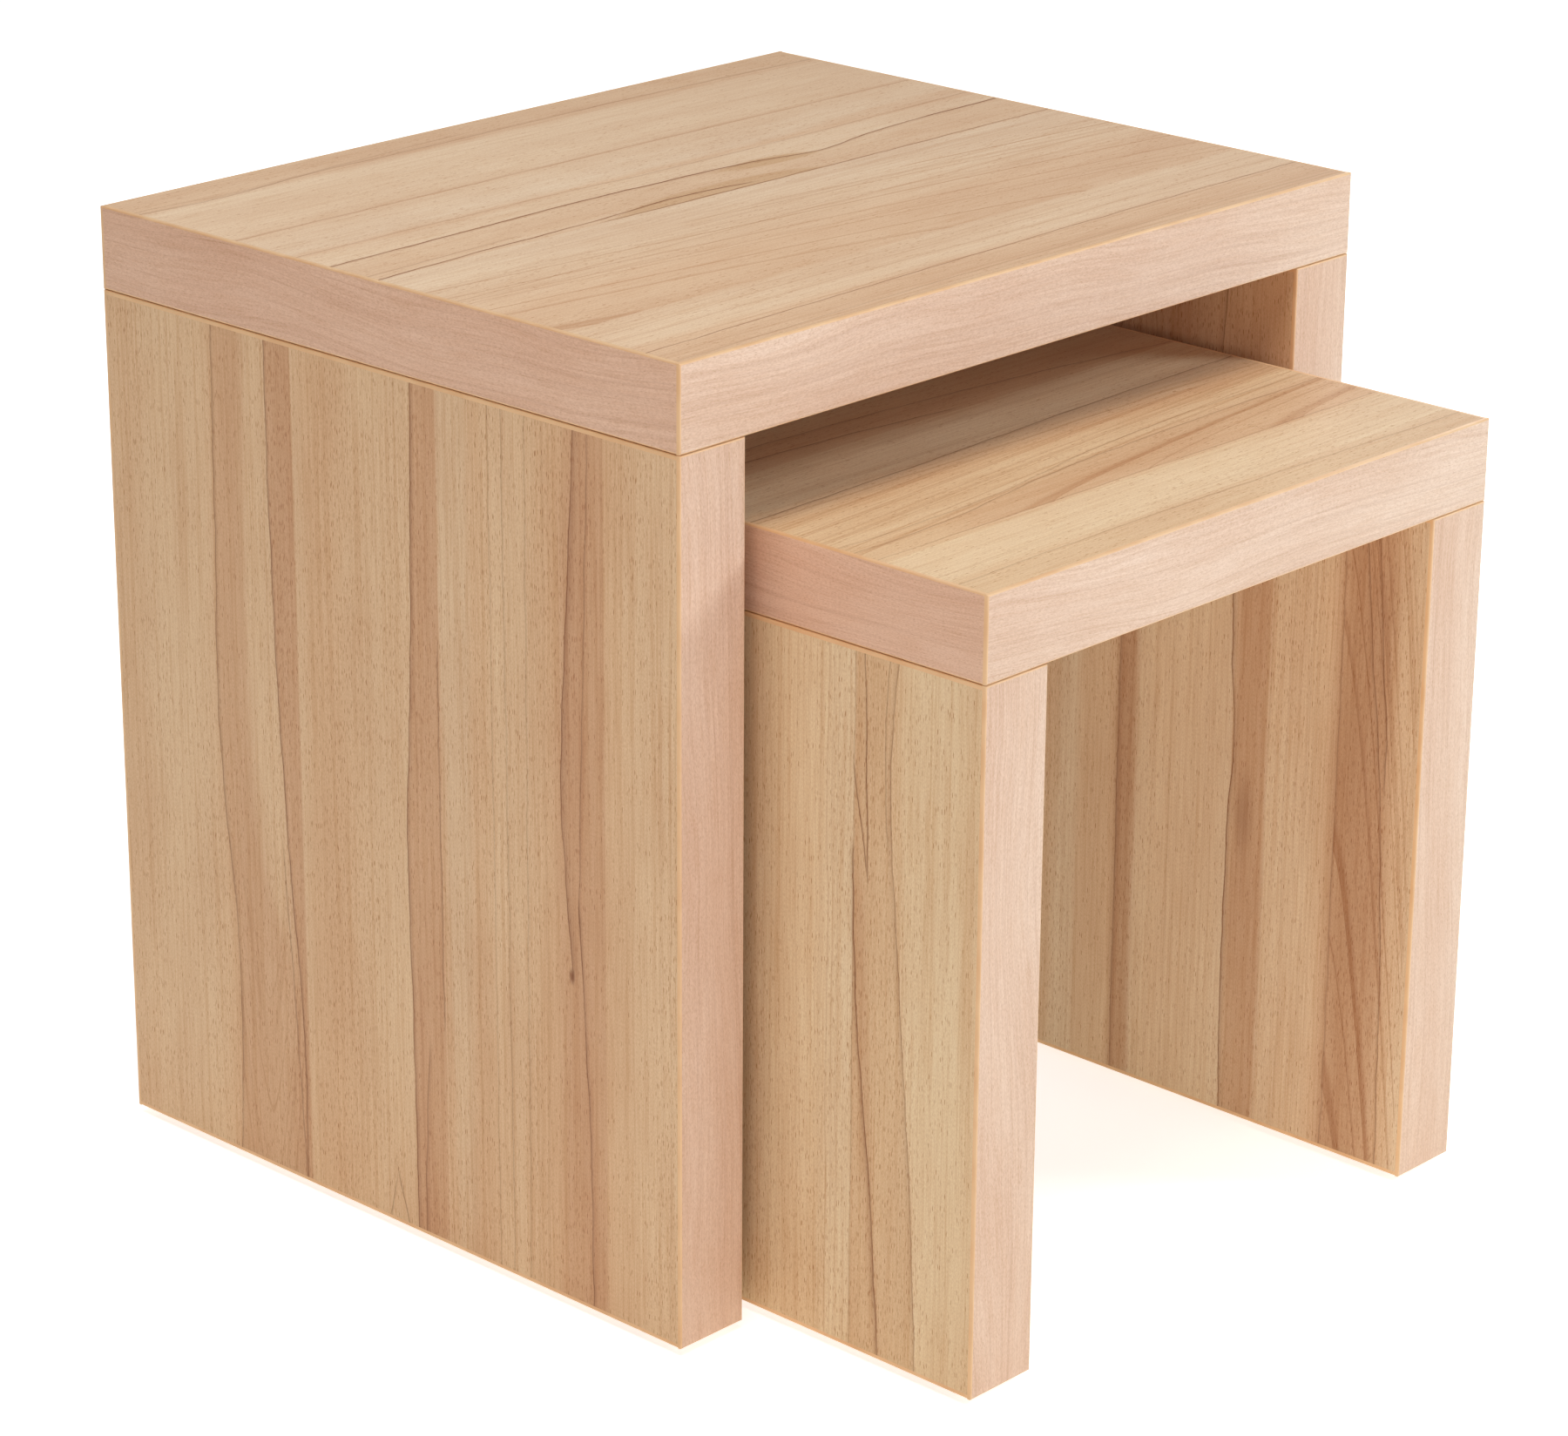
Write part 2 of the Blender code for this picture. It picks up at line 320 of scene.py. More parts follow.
largeTopFigure = {
    "seed": 1.0,
    "cast": (1.1, 1.17, 1.26),
    # painted shade: this top darkens towards its right end, where less light falls
    "paintedFarShade": (0.89, 0.87, 0.86),
    "stripes": [(0, "warm"), (22, "warm"), (26, "warm"), (30, "straw"), (86, "straw"), (90, "tan"),
                (90, "straw"), (124, "pale"), (129, "tan"), (134, "straw"), (181, "straw"), (181, "pale"),
                (225, "straw"), (255, "tan"), (295, "warm"), (295, "straw"), (326, "straw"), (332, "tan"),
                (360, "tan")],
    "hearts": [
        {"low": [(0, 151), (60, 149), (180, 147), (265, 151), (300, 157), (340, 151), (440, 146)],
         "high": 181, "strength": 0.6, "tone": "warm"},
        {"low": [(140, 181), (170, 171), (205, 168), (250, 170), (285, 181)], "high": 181,
         "strength": 0.75, "soft": 2, "tone": "gold", "from": 145, "until": 280},
        {"low": [(230, 152), (275, 150), (300, 158)], "high": [(230, 153), (275, 161), (300, 159)],
         "strength": 0.85, "soft": 1.5, "tone": "gold", "from": 235, "until": 300},
        {"low": [(290, 131), (350, 120), (440, 115)], "high": [(290, 132), (350, 130), (440, 127)],
         "strength": 0.6, "tone": "tan", "from": 290, "soft": 3},
    ],
    "veins": [
        {"path": [(0, 25), (50, 28), (100, 23), (170, 23), (300, 21), (440, 24)], "strength": 0.5,
         "side": -1, "fade": 3.75},
        {"path": [(20, 22), (70, 25), (130, 20), (200, 16)], "strength": 0.3, "side": -1, "until": 210},
        {"path": [(0, 151), (60, 149), (180, 147), (265, 151), (300, 157), (340, 151), (440, 146)],
         "strength": 1.0, "width": 1.0, "fade": 3},
        {"path": [(0, 129), (140, 129), (220, 132), (440, 127)], "strength": 0.4},
        {"path": [(0, 181), (60, 178), (150, 175), (190, 172), (250, 180)], "strength": 0.95,
         "width": 0.9, "until": 240},
        {"path": [(150, 180), (230, 180.5), (440, 179)], "strength": 0.75, "width": 0.8, "side": -1,
         "fade": 1.5, "from": 130},
        {"path": [(0, 174), (60, 172), (110, 170)], "strength": 0.4, "fade": 1.5, "until": 100},
        {"path": [(0, 89.6), (440, 89.6)], "strength": 0.4, "side": -1, "fade": 3},
        {"path": [(0, 339), (150, 334), (300, 330), (440, 329)], "strength": 0.75, "fade": 1.5},
        {"path": [(0, 356), (200, 350), (440, 352)], "strength": 0.3, "fade": 1.5},
    ],
    "arches": [
        {"from": 205, "until": 295, "middle": 295, "reach": 2.2, "bend": 1.3, "spacing": 90,
         "strength": 1.0},
    ],
    "growth": [(295, 360, 3, 0.45), (181, 240, 4, 0.45), (90, 150, 9, 0.2), (0, 90, 9, 0.2)],
    "pores": 0.28,
    "streaks": 0.4,
}

largeLeftFigure = {
    "seed": 2.0,
    "cast": (1.06, 1.1, 1.13),
    "stripes": [(0, "tan"), (30, "straw"), (60, "straw"), (75, "tan"), (95, "straw"), (108, "straw"),
                (124, "heart"), (124, "straw"), (134, "tan"), (150, "tan"), (172, "straw"), (192, "straw"),
                (216, "tan"), (216, "pale"), (232, "pale"), (238, "tan"), (252, "straw"), (268, "straw"),
                (284, "tan"), (316, "tan"), (316, "tan"), (336, "straw"), (360, "straw")],
    "hearts": [
        {"low": [(0, 73), (100, 71), (200, 70), (300, 78), (402, 75)], "high": [(0, 93), (150, 90),
         (250, 98), (300, 116), (402, 124)], "strength": 0.62, "soft": 5},
        {"low": [(0, 108), (120, 109), (260, 116), (320, 121), (402, 123)], "high": 124, "strength": 0.9},
        {"low": [(0, 201), (145, 197), (200, 194), (290, 195), (402, 196)], "high": 216, "strength": 0.9},
        {"low": [(0, 202), (200, 200), (402, 195)], "high": [(0, 203), (200, 201), (402, 208)],
         "strength": 0.75, "soft": 4, "from": 270, "tone": "rust"},
        {"low": [(0, 294), (80, 290), (160, 286), (240, 288), (300, 290), (402, 287)], "high": 316,
         "strength": 0.9, "soft": 5},
        {"low": [(0, 300), (130, 292), (240, 297), (402, 305)], "high": [(0, 308), (130, 303),
         (402, 316)], "strength": 0.7, "soft": 4, "tone": "rust"},
        {"low": [(0, 216), (402, 216)], "high": [(0, 216), (402, 223)], "strength": 0.8, "soft": 1.5,
         "from": 150, "tone": "tan"},
        {"low": [(0, 236), (260, 234), (402, 228)], "high": [(0, 241), (260, 246), (402, 252)],
         "strength": 0.6, "soft": 6, "from": 230, "tone": "rosy"},
    ],
    "veins": [
        {"path": [(0, 73), (100, 71), (200, 70), (300, 78), (402, 75)], "strength": 0.65, "fade": 3.75},
        {"path": [(0, 108), (120, 109), (260, 116), (320, 121), (402, 121)], "strength": 0.8},
        {"path": [(230, 110), (330, 117), (402, 121)], "strength": 0.5, "fade": 1.5, "from": 230},
        {"path": [(0, 201), (145, 197), (200, 194), (290, 195), (402, 196)], "strength": 0.85,
         "fade": 3.75},
        {"path": [(120, 215), (200, 215), (300, 215.4)], "strength": 0.6, "fade": 1.5, "side": -1,
         "from": 110, "until": 300},
        {"path": [(300, 206), (340, 203), (402, 201)], "strength": 0.6, "fade": 3.75, "from": 300},
        {"path": [(0, 299), (80, 294), (160, 290), (200, 292), (245, 296)], "strength": 0.85,
         "fade": 6, "until": 252},
        {"path": [(215, 300), (260, 303), (320, 306), (402, 307)], "strength": 0.8, "fade": 3,
         "from": 205},
        {"path": [(0, 307), (120, 303), (215, 300)], "strength": 0.5, "until": 230},
        {"path": [(0, 248), (402, 249)], "strength": 0.3, "fade": 1.5},
        {"path": [(0, 256), (402, 258)], "strength": 0.35},
        {"path": [(0, 270), (402, 268)], "strength": 0.3},
        {"path": [(368, 180), (402, 190)], "strength": 0.7, "fade": 1.5, "from": 368},
        {"path": [(372, 183), (402, 177)], "strength": 0.5, "fade": 1.5, "from": 372},
    ],
    "arches": [
        {"from": 78, "until": 122, "middle": 98, "reach": 1.2, "bend": 1.5, "spacing": 34,
         "strength": 0.5, "start": 260},
    ],
    "growth": [(316, 360, 5, 0.3), (216, 300, 5, 0.3), (78, 124, 7, 0.22), (197, 216, 4, 0.25)],
    "knots": [{"along": 245, "across": 295.5, "long": 5, "wide": 2.2, "strength": 0.85}],
    "pores": 0.8,
}

smallTopFigure = {
    "seed": 3.0,
    "cast": (1.13, 1.25, 1.29),
    # painted shade: this top darkens towards its right end, where less light falls
    "paintedFarShade": (0.92, 0.9, 0.9),
    "stripes": [(0, "tan"), (110, "straw"), (110, "straw"), (183, "tan"), (183, "straw"), (232, "straw"),
                (241, "warm"), (250, "straw"), (272, "straw"), (285, "warm"), (300, "warm"), (300, "tan"),
                (304, "straw"), (336, "straw"), (341, "warm"), (350, "warm"), (360, "tan")],
    "hearts": [
        {"low": [(0, 168), (100, 160), (200, 166), (337, 150)], "high": 183, "strength": 0.35, "soft": 4},
        {"low": [(0, 228), (170, 222), (337, 216)], "high": [(0, 236), (170, 240), (337, 246)],
         "strength": 0.5, "soft": 6},
        {"low": [(0, 285), (120, 278), (200, 268), (337, 262)], "high": 300, "strength": 0.5,
         "soft": 5, "from": 60},
    ],
    "veins": [
        {"path": [(0, 229), (120, 225), (220, 220), (337, 217)], "strength": 0.85},
        {"path": [(0, 160), (80, 158), (180, 163), (337, 182)], "strength": 0.6, "fade": 3},
        {"path": [(0, 170), (90, 172), (180, 181)], "strength": 0.75, "fade": 3, "until": 190},
        {"path": [(0, 299.4), (337, 299.4)], "strength": 0.35, "side": -1, "fade": 1.5},
        {"path": [(0, 287), (60, 285), (140, 274), (337, 267)], "strength": 0.55},
        {"path": [(0, 278), (90, 277), (200, 262), (337, 258)], "strength": 0.4},
        {"path": [(0, 343), (90, 341), (337, 345)], "strength": 0.4},
    ],
    "arches": [
        {"from": 236, "until": 300, "middle": 300, "reach": 1.6, "bend": 1.45, "spacing": 62,
         "strength": 0.8, "direction": -1},
    ],
    "growth": [(183, 236, 4, 0.6), (300, 360, 6, 0.3), (0, 110, 7, 0.25)],
    "pores": 0.35,
    "streaks": 0.6,
}

smallLeftFigure = {
    "seed": 4.0,
    "cast": (1.1, 1.25, 1.32),
    "stripes": [(0, "straw"), (95, "straw"), (95, "tan"), (180, "tan"), (180, "straw"), (256, "straw"),
                (270, "straw"), (278, "pale"), (290, "pale"), (290, "rosy"), (296, "warm"), (312, "tan"),
                (320, "straw"), (346, "straw"), (360, "tan")],
    "hearts": [
        {"low": 290, "high": [(0, 314), (48, 310), (130, 315), (190, 320), (257, 325), (321, 328)],
         "strength": 0.65, "soft": 1.5, "tone": "rosy"},
        {"low": [(0, 290), (110, 290), (200, 294), (321, 305)], "high": [(0, 293), (200, 300),
         (321, 309)], "strength": 0.85, "soft": 2.5, "tone": "brown", "from": 100},
        {"low": 230, "high": [(0, 248), (160, 252), (321, 262)], "strength": 0.3, "soft": 10,
         "tone": "rosy"},
        {"low": [(0, 60), (160, 66), (321, 58)], "high": 95, "strength": 0.8, "tone": "brown"},
    ],
    "veins": [
        {"path": [(0, 314), (48, 310), (130, 315), (190, 320), (257, 325), (321, 328)],
         "strength": 0.6, "side": -1, "fade": 3.75},
        {"path": [(0, 290.4), (122, 290.6), (186, 295), (240, 301), (321, 307)], "strength": 0.9,
         "fade": 3, "side": -1, "from": 80},
        {"path": [(0, 295.5), (60, 297), (100, 298)], "strength": 0.85, "side": -1, "fade": 1.5,
         "until": 106},
        {"path": [(50, 289.5), (80, 294.5), (100, 298)], "strength": 0.75, "fade": 1.5, "from": 45,
         "until": 106},
        {"path": [(0, 290.2), (321, 290.2)], "strength": 0.3, "fade": 1.5},
        {"path": [(0, 309), (40, 307), (80, 309)], "strength": 0.45, "fade": 1.5, "until": 90},
        {"path": [(0, 60), (160, 66), (321, 58)], "strength": 0.6, "fade": 3.75},
    ],
    "arches": [],
    "growth": [(236, 290, 4, 0.42), (296, 320, 6, 0.25)],
    "pores": 0.75,
}

smallRightFigure = {
    "seed": 5.0,
    "cast": (1.07, 1.18, 1.31),
    "stripes": [(0, "straw"), (100, "straw"), (146, "warm"), (152, "pale"), (160, "pale"), (164, "tan"),
                (184, "tan"), (187, "umber"), (195, "brown"), (199, "straw"), (210, "bright"),
                (246, "straw"), (253, "pale"), (253, "rosy"), (272, "brown"), (275, "straw"),
                (300, "straw"), (308, "tan"), (314, "brown"), (320, "umber"), (340, "brown"),
                (347, "tan"), (360, "straw")],
    "hearts": [
        {"low": [(0, 184), (321, 185)], "high": [(0, 197), (150, 195), (321, 198)], "strength": 0.6,
         "soft": 2, "tone": "umber"},
        {"low": 256, "high": [(0, 270), (140, 272), (240, 274), (321, 271)], "strength": 0.85,
         "soft": 2, "tone": "brown"},
        {"low": [(0, 316), (321, 319)], "high": [(0, 330), (130, 338), (321, 341)], "strength": 0.3,
         "soft": 4, "tone": "umber"},
    ],
    "veins": [
        {"path": [(0, 253), (90, 252), (130, 255), (170, 253), (321, 254)], "strength": 0.95,
         "fade": 4.5},
        {"path": [(0, 186), (321, 187)], "strength": 0.6, "fade": 3.75},
        {"path": [(0, 324), (60, 330), (130, 338), (321, 346)], "strength": 0.7, "side": -1},
        {"path": [(0, 331), (60, 336), (110, 341)], "strength": 0.65, "side": -1, "until": 140},
        {"path": [(0, 314), (321, 314)], "strength": 0.4},
    ],
    "arches": [
        {"from": 314, "until": 356, "middle": 313, "reach": 1.45, "bend": 1.4, "spacing": 44,
         "strength": 1.0, "direction": -1},
    ],
    "growth": [(199, 253, 5, 0.3), (274, 314, 4, 0.4)],
    "knots": [{"along": 166, "across": 262, "long": 32, "wide": 8, "strength": 0.3}],
    "pores": 0.8,
}

largeRightFigure = {
    "seed": 6.0,
    "cast": (1.05, 1.07, 1.08),
    "stripes": [(0, "straw"), (60, "straw"), (60, "tan"), (150, "pale"), (150, "straw"), (238, "straw"),
                (238, "tan"), (330, "tan"), (340, "heart"), (356, "heart"), (360, "straw")],
    "hearts": [
        {"low": [(0, 128), (120, 132), (260, 124), (402, 130)], "high": 150, "strength": 0.9},
        {"low": 238, "high": [(0, 262), (140, 255), (300, 263), (402, 258)], "strength": 0.85, "soft": 2},
    ],
    "veins": [
        {"path": [(0, 128), (120, 132), (260, 124), (402, 130)], "strength": 0.85, "fade": 3.75},
        {"path": [(0, 262), (140, 255), (300, 263), (402, 258)], "strength": 0.8, "side": -1, "fade": 3},
        {"path": [(0, 346), (402, 344)], "strength": 0.7, "fade": 3},
        {"path": [(0, 40), (200, 46), (402, 38)], "strength": 0.6, "fade": 3},
    ],
    "arches": [
        {"from": 62, "until": 126, "middle": 96, "reach": 1.4, "bend": 1.4, "spacing": 44,
         "strength": 0.6},
    ],
    "growth": [(150, 238, 5, 0.3), (262, 330, 5, 0.3)],
    "pores": 0.8,
}


def darken(tree, colour, mask, name):
    return mixTone(tree, mask, colour, tone(*grainShades[name]), "MULTIPLY")


def grainHeight(tree, fibre, pores):  # hairs and specks stand up, pores are sunk
    height = calc(tree, "SUBTRACT", product(tree, fibre["Hair"], 0.4), pores)
    return calc(tree, "MULTIPLY_ADD", fibre["Speck"], 0.6, height)


def layPath(tree, share, points, length, width):  # a wavy edge from its few points, in millimetres across
    if not isinstance(points, list):
        return float(points)
    bent = addNode(tree, "FloatCurve", {"Value": share})
    curve = bent.mapping.curves[0]
    places = [(along / length, across / width) for along, across in points]
    curve.points[0].location = places[0]
    curve.points[1].location = places[-1]
    for place in places[1:-1]:
        curve.points.new(*place)
    bent.mapping.extend = "HORIZONTAL"
    bent.mapping.update()
    return product(tree, bent.outputs[0], float(width))


def inRange(tree, value, low, high, lowSoft=0.4, highSoft=0.4):
    edges = []
    for edge, soft in ((low, -lowSoft), (high, highSoft)):
        outer, inner = calc(tree, "ADD", edge, soft), calc(tree, "SUBTRACT", edge, soft)
        edges.append(smoothStep(tree, value, outer, inner))
    return product(tree, *edges)


def paintFigure(tree, across, along, figure, length, width):  # the stave colours with their heartwood
    share = calc(tree, "DIVIDE", along, float(length), clamp=True)
    sway = noise(tree, across, along, 40.0, 110.0, figure["seed"], 2.0)
    sway = calc(tree, "MULTIPLY_ADD", sway, 6.0, -3.0)
    ramp = addNode(tree, "ValToRGB", {"Fac": calc(tree, "DIVIDE", across, float(width))})
    stops = ramp.color_ramp.elements
    previous = -1
    for index, (place, name) in enumerate(figure["stripes"]):
        position = (place + (0.25 if place == previous else 0)) / width
        stop = stops[index] if index < 2 else stops.new(position)
        stop.position = position
        stop.color = tone(*beechTones[name])
        previous = place
    colour = ramp.outputs[0]
    rippled = calc(tree, "ADD", across, product(tree, sway, 0.35))
    for heart in figure["hearts"]:
        low = layPath(tree, share, heart["low"], length, width)
        high = layPath(tree, share, heart["high"], length, width)
        # an edge given as one number is a joint, so it stays crisp and straight
        wavy = [isinstance(heart[edge], list) for edge in ("low", "high")]
        soft = [heart.get("soft", 0.6) if bends else 0.4 for bends in wavy]
        zone = inRange(tree, rippled if all(wavy) else across, low, high, *soft)
        if "from" in heart or "until" in heart:
            start, end = float(heart.get("from", -50)), float(heart.get("until", 900))
            zone = product(tree, zone, inRange(tree, along, start, end, 20.0, 20.0))
        zone = product(tree, zone, heart["strength"])
        colour = mixTone(tree, zone, colour, tone(*beechTones[heart.get("tone", "heart")]))
    for index, arch in enumerate(figure["arches"]):
        apart = calc(tree, "ABSOLUTE", calc(tree, "SUBTRACT", across, float(arch["middle"])))
        run = product(tree, calc(tree, "POWER", apart, arch["bend"]), arch["reach"])
        rings = calc(tree, "MULTIPLY_ADD", along, float(arch.get("direction", 1)), run)
        rings = calc(tree, "ADD", rings, product(tree, sway, 3.0))
        steep = calc(tree, "POWER", apart, arch["bend"] - 1)
        grade = calc(tree, "MULTIPLY_ADD", steep, arch["reach"] * arch["bend"], 1.0)
        lines = useGroup(tree, effects["growth"], {"Rings": rings, "Grade": grade, "Fade": 2.2,
                                                   "Spacing": float(arch["spacing"]),
                                                   "Seed": figure["seed"] + index})["Lines"]
        zone = inRange(tree, across, float(arch["from"]), float(arch["until"]))
        if "start" in arch:
            zone = product(tree, zone, inRange(tree, along, float(arch["start"]), 900.0, 25.0))
        factor = product(tree, lines, zone, arch["strength"])
        colour = darken(tree, colour, factor, "growth")
    for index, (start, end, spacing, strength) in enumerate(figure["growth"]):
        lines = useGroup(tree, effects["growth"], {"Rings": calc(tree, "ADD", across, sway),
                                                   "Spacing": float(spacing),
                                                   "Seed": figure["seed"] + 3 * index})["Lines"]
        zone = inRange(tree, across, float(start), float(end))
        factor = product(tree, lines, zone, strength)
        colour = darken(tree, colour, factor, "growth")
    for index, vein in enumerate(figure["veins"]):
        path = layPath(tree, share, vein["path"], length, width)
        line = useGroup(tree, effects["vein"], {
            "Across": across, "Along": along, "Path": path, "Seed": figure["seed"] + 0.37 * index,
            "From": float(vein.get("from", -60)), "Until": float(vein.get("until", 900)),
            "Width": vein.get("width", 0.6), "Fade": vein.get("fade", 2.25),
            "Side": float(vein.get("side", 1))})["Vein"]
        colour = darken(tree, colour, product(tree, line, vein["strength"]), "vein")
    for knot in figure.get("knots", []):
        lengthwise = calc(tree, "SUBTRACT", along, float(knot["along"]))
        crosswise = calc(tree, "SUBTRACT", across, float(knot["across"]))
        offset = addNode(tree, "CombineXYZ", {
            "X": calc(tree, "DIVIDE", lengthwise, float(knot["long"])),
            "Y": calc(tree, "DIVIDE", crosswise, float(knot["wide"]))})
        apart = addNode(tree, "VectorMath", {0: offset.outputs[0]}, operation="LENGTH").outputs["Value"]
        mask = smoothStep(tree, apart, 1.0, 0.1, 0.0, knot["strength"])
        colour = darken(tree, colour, mask, "vein")
    # painted shade: the print darkens more and more towards the grain's far end
    colour = mixTone(tree, share, colour, (*figure.get("paintedFarShade", (1, 1, 1)), 1.0), "MULTIPLY")
    return mixTone(tree, 1.0, colour, (*figure["cast"], 1.0), "MULTIPLY")


# fibres, patches and pores over a colour
def paintGrain(tree, colour, across, along, seed, poreAmount, streaks=0.9):
    fibre = useGroup(tree, effects["fibre"], {"Across": across, "Along": along, "Seed": seed})
    pores = useGroup(tree, effects["pores"], {"Across": across, "Along": along, "Seed": seed,
                                              "Amount": poreAmount})["Pores"]
    for name, (low, high) in grainRanges.items():
        most = streaks if name == "streak" else 1.0
        mask = smoothStep(tree, fibre[name.capitalize()], low, high, 0.0, most)
        colour = darken(tree, colour, mask, name)
    return darken(tree, colour, pores, "pore"), grainHeight(tree, fibre, pores)


def makeBoardFinish(node, figure, boardFinish):
    low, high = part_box(node)
    middle = (low + high) / 2
    flat = high.z - low.z < high.x - low.x  # a top board lies flat with its grain from left to right
    outward = -1 if "left" in node else 1
    material, tree, shader = startMaterial(node + " beech", boardFinish["roughness"], boardFinish["gloss"])
    place = addNode(tree, "TexCoord").outputs["Object"]
    scale = 1 / millimetre
    if flat:
        size = (scale, -scale, scale)
        start = (-low.x * scale, high.y * scale, -middle.z * scale)
        length = (high.x - low.x) * scale
    else:
        size = (outward * scale, -scale, -scale)
        start = (-outward * middle.x * scale, high.y * scale, high.z * scale)
        length = (high.z - low.z) * scale
    shift = Vector((edgingThickness if flat else 0, edgingThickness, 0 if flat else edgingThickness))
    mapped = addNode(tree, "Mapping", {"Vector": place, "Location": Vector(start) + shift, "Scale": size})
    parts = addNode(tree, "SeparateXYZ", {"Vector": mapped.outputs[0]}).outputs
    along, through = (parts["X"], parts["Z"]) if flat else (parts["Z"], parts["X"])
    across = parts["Y"]
    length += 2 * edgingThickness
    width = (high.y - low.y) * scale + 2 * edgingThickness
    if node == "small_right_board":  # its figure was laid for the inner face
        through = product(tree, through, -1.0)
    # the other face carries the same print turned end for end
    turned = calc(tree, "LESS_THAN", through, 0.0)
    across = mixValue(tree, turned, across, calc(tree, "SUBTRACT", width, across))
    along = mixValue(tree, turned, along, calc(tree, "SUBTRACT", length, along))
    seed = calc(tree, "ADD", product(tree, turned, 31.0), figure["seed"])
    colour = paintFigure(tree, across, along, figure, length, width)
    colour, height = paintGrain(tree, colour, across, along, seed, figure["pores"],
                                figure.get("streaks", 0.9))
    # cut edges and bored holes show the particle board core
    normal = addNode(tree, "NewGeometry").outputs["Normal"]
    leaning = addNode(tree, "SeparateXYZ", {"Vector": normal}).outputs
    facing = calc(tree, "ABSOLUTE", leaning["Z" if flat else "X"])
    core = calc(tree, "LESS_THAN", facing, 0.5)
    chips = useGroup(tree, effects["chips"], {"Size": boardCore["chipSize"]})
    chipColour = mixTone(tree, chips["Chips"], tone(*boardCore["light"]), tone(*boardCore["dark"]))
    # the gaps between the flakes are painted dark: painted shade in voids that are only a bump
    shadedGaps = product(tree, chips["Gaps"], 0.6)
    chipColour = mixTone(tree, shadedGaps, chipColour, tone(*boardCore["gap"]))
    colour = mixTone(tree, core, colour, chipColour)
    height = mixValue(tree, core, height, product(tree, chips["Gaps"], -3.0))
    setPrintSurface(tree, shader, colour, height, boardFinish)
    return material


boardFinish = {"roughness": 0.5, "gloss": 0.35, "relief": 0.35}
# gap is the colour of the painted shade in the voids between the core's flakes
boardCore = {"chipSize": 2.6, "light": (206, 176, 138), "dark": (168, 132, 94), "gap": (96, 70, 46)}
figures = {"large_top_board": largeTopFigure, "large_left_board": largeLeftFigure,
           "large_right_board": largeRightFigure, "small_top_board": smallTopFigure,
           "small_left_board": smallLeftFigure, "small_right_board": smallRightFigure}
for node, figure in figures.items():
    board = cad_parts[node]
    board.data.materials.clear()
    board.data.materials.append(makeBoardFinish(node, figure, boardFinish))
print("boards finished")


# edging

edging = {
    "edgeRadius": 0.7,
    "edgeSegments": 4,
    "roughness": 0.42,
    "gloss": 0.4,
    "print": (236, 205, 184),
    "printDark": (229, 194, 171),
    "streak": (205, 162, 136),
    "body": (236, 196, 154),
    "bodyDark": (229, 184, 140),
    "cast": {"X": (1.02, 1.04, 1.06), "Y": (1.01, 0.97, 1.0), "Z": (0.98, 0.97, 0.97)},
    "relief": 0.3,
    "pieceStep": 27.0,  # bands further apart than this get another stretch of print
}


def makeEdgingPrint(direction):  # the print's grain runs along the band
    name = "edging print " + direction
    material, tree, shader = startMaterial(name, edging["roughness"], edging["gloss"])
    parts = objectPlace(tree)
    order = {"X": ("X", "Z", "Y"), "Y": ("Y", "Z", "X"), "Z": ("Z", "X", "Y")}[direction]
    along, across, through = (parts[axis] for axis in order)
    if direction == "Y":  # the upper and lower bands of the side boards lie flat, the top's stand upright
        normal = addNode(tree, "NewGeometry").outputs["Normal"]
        upright = addNode(tree, "SeparateXYZ", {"Vector": normal}).outputs["Z"]
        flat = calc(tree, "GREATER_THAN", calc(tree, "ABSOLUTE", upright), 0.5)
        across, through = mixValue(tree, flat, across, through), mixValue(tree, flat, through, across)
    piece = calc(tree, "FLOOR", calc(tree, "DIVIDE", through, edging["pieceStep"]))
    seed = product(tree, piece, 3.71)
    # the lines lean a little against the band
    lean = noise(tree, across, along, 60.0, 170.0, seed, 1.0)
    leaned = calc(tree, "ADD", across, calc(tree, "MULTIPLY_ADD", lean, 22.0, -11.0))
    leaned = calc(tree, "ADD", leaned, product(tree, along, 0.03))
    fibre = useGroup(tree, effects["fibre"], {"Across": leaned, "Along": along, "Seed": seed})
    lines = useGroup(tree, effects["growth"], {"Rings": leaned, "Spacing": 5.0, "Seed": seed, "Fade": 1.5})
    cloud = smoothStep(tree, fibre["Cloud"], 0.3, 0.7)
    colour = mixTone(tree, cloud, tone(*edging["print"]), tone(*edging["printDark"]))
    streak = smoothStep(tree, fibre["Streak"], 0.45, 0.75, 0.0, 0.35)
    colour = mixTone(tree, streak, colour, tone(*edging["streak"]))
    colour = mixTone(tree, product(tree, lines["Lines"], 0.5), colour, tone(*edging["streak"]))
    hair = smoothStep(tree, fibre["Hair"], 0.35, 0.75)
    colour = darken(tree, colour, hair, "hair")
    pores = useGroup(tree, effects["pores"], {"Across": leaned, "Along": along, "Seed": seed,
                                              "Amount": 0.5, "Gap": 0.8, "Step": 4.0})["Pores"]
    colour = darken(tree, colour, product(tree, pores, 0.4), "pore")
    speck = smoothStep(tree, fibre["Speck"], 0.3, 0.75)
    colour = darken(tree, colour, speck, "speck")
    colour = mixTone(tree, 1.0, colour, (*edging["cast"][direction], 1.0), "MULTIPLY")
    setPrintSurface(tree, shader, colour, grainHeight(tree, fibre, pores), edging)
    return material


def makeEdgingBody():  # the solid-coloured plastic that the rounded edges uncover, with its milling marks
    material, tree, shader = startMaterial("edging body", 0.38, 0.5)
    mottle = smoothStep(tree, objectNoise(tree, 60.0, 3.0), 0.35, 0.7)
    colour = mixTone(tree, mottle, tone(*edging["body"]), tone(*edging["bodyDark"]))
    marks = objectNoise(tree, 1400.0, 1.0)
    roughness = smoothStep(tree, marks, 0.3, 0.7, 0.3, 0.46)
    setSurface(tree, shader, colour, roughness, marks, 0.2, 0.02)
    return material


